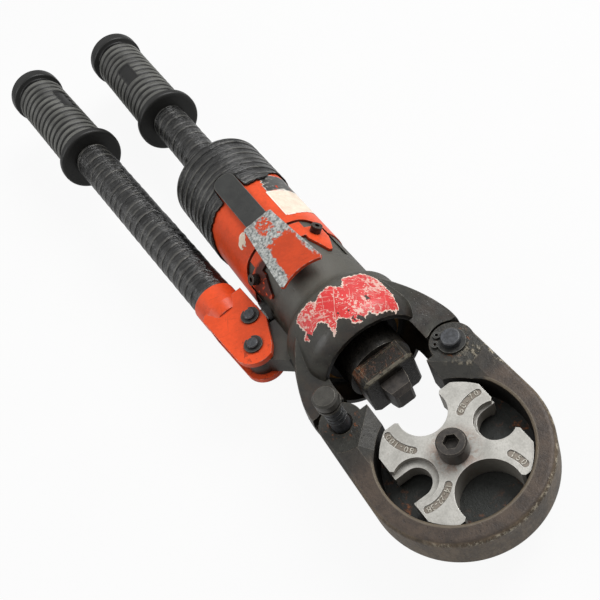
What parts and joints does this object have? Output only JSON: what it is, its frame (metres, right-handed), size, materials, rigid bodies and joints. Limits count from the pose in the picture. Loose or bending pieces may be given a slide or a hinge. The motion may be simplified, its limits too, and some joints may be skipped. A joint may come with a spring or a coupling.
{
  "type": "hydraulic crimping tool",
  "caption": "Hand-pumped hydraulic crimping tool: swing-open head with a rotary die, ram punch, latch pin, thumb release, two grips.",
  "frame": {"origin": "where the die axis meets the flat back face of the head", "axes": "+X along the ram axis from the ram to the rounded tip of the head, +Z along the die axis away from the back face, +Y towards the head's hinge pin"},
  "size_m": [0.4361, 0.1165, 0.0648],
  "materials": {
    "casting_black": "dull black paint, worn",
    "head_steel": "forged, browned, worn bright on edges",
    "die_steel": "satin plated",
    "dark_steel": "oxide black",
    "bright_steel": "ground",
    "orange_paint": "gloss enamel, chipped",
    "black_tape": "vinyl tape, glossy",
    "grip_rubber": "moulded",
    "seal_rubber": "oiled",
    "bronze": "turned",
    "strap_black": "matt"
  },
  "bodies": {
    "tool_body": {"cylinder_body": "casting_black", "ram_gland": "bronze", "ram_wiper": "seal_rubber", "return_spring": "bright_steel", "hinge_pin": "bright_steel", "hinge_circlip": "dark_steel", "pump_gland": "bronze", "suction_ball": "bright_steel", "suction_spring": "bright_steel", "suction_plug": "dark_steel", "fixed_tube": "bright_steel", "fixed_tape": "black_tape", "fixed_grip": "grip_rubber", "reservoir_sleeve": "orange_paint", "reservoir_end_cap": "casting_black", "reservoir_tape": "black_tape", "oil_bladder": "seal_rubber", "filler_plug": "dark_steel", "cover_strap": "strap_black", "release_bracket": "orange_paint", "bracket_screws": "dark_steel", "release_pivot": "dark_steel", "release_spring": "bright_steel"},
    "ram_group": {"ram": "bright_steel", "ram_seal": "seal_rubber", "punch_holder": "dark_steel", "punch": "dark_steel", "punch_screw": "dark_steel"},
    "head": {"head_frame": "head_steel", "die_bush": "bright_steel", "die_screw": "dark_steel", "detent_ball": "bright_steel", "latch_ring": "seal_rubber"},
    "die": {"rotary_die": "die_steel"},
    "latch": {"latch_pin": "dark_steel", "latch_knob": "dark_steel"},
    "pump_lever": {"lever_yoke": "orange_paint", "fulcrum_pin": "dark_steel", "drive_pin": "dark_steel", "fulcrum_clips": "dark_steel", "drive_clips": "dark_steel", "lever_tube": "bright_steel", "lever_tape": "black_tape", "lever_grip": "grip_rubber"},
    "plunger": {"pump_plunger": "bright_steel", "plunger_seal": "seal_rubber"},
    "thumb_lever": {"release_lever": "orange_paint"},
    "valve_pin": {"release_valve_pin": "bright_steel"}
  },
  "joints": [
    {"name": "ram_stroke", "type": "slide", "parent": "tool_body", "child": "ram_group", "axis": [1, 0, 0], "range_m": [0, 0.017], "stiffness_N_per_m": 600, "springref_m": -0.012, "deforming": ["return_spring"]},
    {"name": "head_swing", "type": "hinge", "parent": "tool_body", "child": "head", "pos_m": [-0.0408, 0.03015, 0.0125], "axis": [0, 0, 1], "range_deg": [0, 70]},
    {"name": "die_turn", "type": "hinge", "parent": "head", "child": "die", "pos_m": [0, 0, 0.0125], "axis": [0, 0, 1], "continuous": true},
    {"name": "latch_push", "type": "slide", "parent": "head", "child": "latch", "axis": [0, 0, -1], "range_m": [0, 0.0162]},
    {"name": "pump_stroke", "type": "hinge", "parent": "tool_body", "child": "pump_lever", "pos_m": [-0.1035, -0.04035, 0.0125], "axis": [0, 0, 1], "range_deg": [-1.5, 43.5]},
    {"name": "plunger_slide", "type": "slide", "parent": "tool_body", "child": "plunger", "axis": [0, -1, 0], "range_m": [-0.001, 0.0135]},
    {"name": "release_press", "type": "hinge", "parent": "tool_body", "child": "thumb_lever", "pos_m": [-0.136, -0.0029, 0.04005], "axis": [0, 0.9945, 0.1045], "range_deg": [0, 5], "stiffness_Nm_per_rad": 0.6, "springref_deg": -2.86, "deforming": ["release_spring"]},
    {"name": "valve_push", "type": "slide", "parent": "tool_body", "child": "valve_pin", "axis": [0, 0.1045, -0.9945], "range_m": [0, 0.0018]}
  ],
  "couplings": [
    {"joint": "plunger_slide", "follows": "pump_stroke", "m_per_rad": 0.0167},
    {"joint": "valve_push", "follows": "release_press", "m_per_rad": 0.02}
  ]
}
